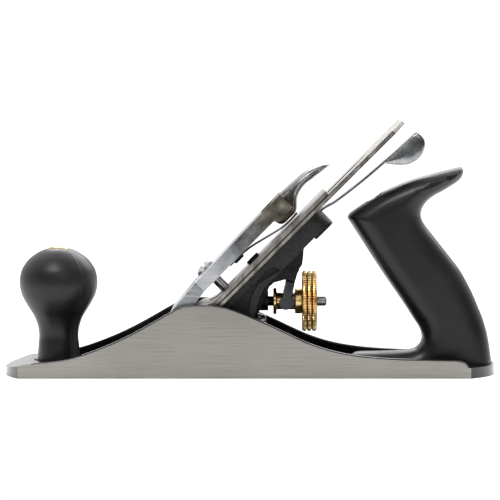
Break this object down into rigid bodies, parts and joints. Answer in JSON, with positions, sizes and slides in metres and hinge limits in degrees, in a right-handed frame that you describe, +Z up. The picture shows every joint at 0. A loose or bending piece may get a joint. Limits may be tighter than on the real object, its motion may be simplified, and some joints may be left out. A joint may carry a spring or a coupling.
{
  "type": "hand plane",
  "caption": "Bench smoothing hand plane with an iron sole, a bedded iron under a cam lever cap, a brass depth wheel, a front knob and a rear handle.",
  "frame": {"origin": "centre of the sole's face, on the surface that the plane stands on", "axes": "+X from the toe to the heel, +Y across the sole, +Z up from the sole"},
  "size_m": [0.248, 0.064, 0.1285],
  "materials": {
    "body_casting": "ground bare iron outside the wings, black enamel inside",
    "black_plastic": "moulded, satin to glossy",
    "frog_casting": "black enamel over a rough casting",
    "brass": "turned, bright on the knurl",
    "steel": "ground and brushed",
    "plated_steel": "nickel plated, satin",
    "dark_steel": "pressed steel, dark finish",
    "screw_steel": "turned"
  },
  "bodies": {
    "body": {"plane_body": "body_casting", "front_knob": "black_plastic", "knob_stud": "screw_steel", "knob_nut": "brass", "tote": "black_plastic", "tote_rod": "screw_steel", "tote_nut": "brass", "frog_screws": "screw_steel", "frog_washers": "screw_steel"},
    "frog": {"frog": "frog_casting", "frog_clip": "dark_steel", "frog_clip_screw": "screw_steel", "adjust_stud": "screw_steel", "y_lever_pin": "screw_steel", "lateral_pivot": "screw_steel", "lever_cap_screw": "plated_steel"},
    "frog_adjust_screw": {"frog_adjust_screw": "screw_steel"},
    "nut_hub": {"adjusting_hub": "brass"},
    "nut_wheel": {"adjusting_wheel": "brass"},
    "y_lever": {"y_lever": "dark_steel"},
    "lateral_lever": {"lateral_lever": "dark_steel", "roller_pin": "screw_steel"},
    "lateral_roller": {"lateral_roller": "screw_steel"},
    "cap_iron_screw": {"cap_iron_screw": "screw_steel"},
    "iron": {"blade": "steel", "cap_iron": "steel"},
    "lever_cap": {"lever_cap": "plated_steel", "lever_cap_spring": "dark_steel", "spring_rivet": "screw_steel", "cam_pin": "screw_steel"},
    "cam_lever": {"cam_lever": "plated_steel"}
  },
  "joints": [
    {"name": "frog_slide", "type": "slide", "parent": "body", "child": "frog", "axis": [1, 0, 0], "range_m": [-0.001, 0.0015]},
    {"name": "frog_adjust_turn", "type": "hinge", "parent": "frog", "child": "frog_adjust_screw", "pos_m": [0.01, 0, 0.014], "axis": [1, 0, 0], "range_deg": [-341, 511]},
    {"name": "depth_wheel_turn", "type": "hinge", "parent": "nut_hub", "child": "nut_wheel", "pos_m": [0.03, 0, 0.0366], "axis": [-1, 0, 0], "range_deg": [-409, 851]},
    {"name": "nut_travel", "type": "slide", "parent": "frog", "child": "nut_hub", "axis": [1, 0, 0], "range_m": [-0.0012, 0.0025]},
    {"name": "y_lever_pivot", "type": "hinge", "parent": "frog", "child": "y_lever", "pos_m": [0.0219, 0, 0.0534], "axis": [0, 1, 0], "range_deg": [-8.3, 4]},
    {"name": "iron_depth", "type": "slide", "parent": "frog", "child": "cap_iron_screw", "axis": [0.7071, 0, 0.7071], "range_m": [-0.0024, 0.0012]},
    {"name": "iron_skew", "type": "hinge", "parent": "cap_iron_screw", "child": "iron", "pos_m": [0.00516, 0, 0.05452], "axis": [-0.7071, 0, 0.7071], "range_deg": [-1.25, 1.25]},
    {"name": "lateral_swing", "type": "hinge", "parent": "frog", "child": "lateral_lever", "pos_m": [0.03097, 0, 0.07806], "axis": [-0.7071, 0, 0.7071], "range_deg": [-6, 6]},
    {"name": "roller_spin", "type": "hinge", "parent": "lateral_lever", "child": "lateral_roller", "pos_m": [0.02524, 0, 0.07531], "axis": [-0.7071, 0, 0.7071], "continuous": true},
    {"name": "lever_cap_slide", "type": "slide", "parent": "frog", "child": "lever_cap", "axis": [0.7071, 0, 0.7071], "range_m": [0, 0.01]},
    {"name": "cam_lever_swing", "type": "hinge", "parent": "lever_cap", "child": "cam_lever", "pos_m": [0.01499, 0, 0.08273], "axis": [0, -1, 0], "range_deg": [0, 95]}
  ],
  "couplings": [
    {"joint": "frog_adjust_turn", "follows": "frog_slide", "rad_per_m": 5938.7},
    {"joint": "depth_wheel_turn", "follows": "nut_travel", "rad_per_m": 5938.7},
    {"joint": "y_lever_pivot", "follows": "nut_travel", "rad_per_m": -57.471},
    {"joint": "iron_depth", "follows": "nut_travel", "ratio": -0.93103},
    {"joint": "iron_skew", "follows": "lateral_swing", "ratio": -0.20761}
  ]
}
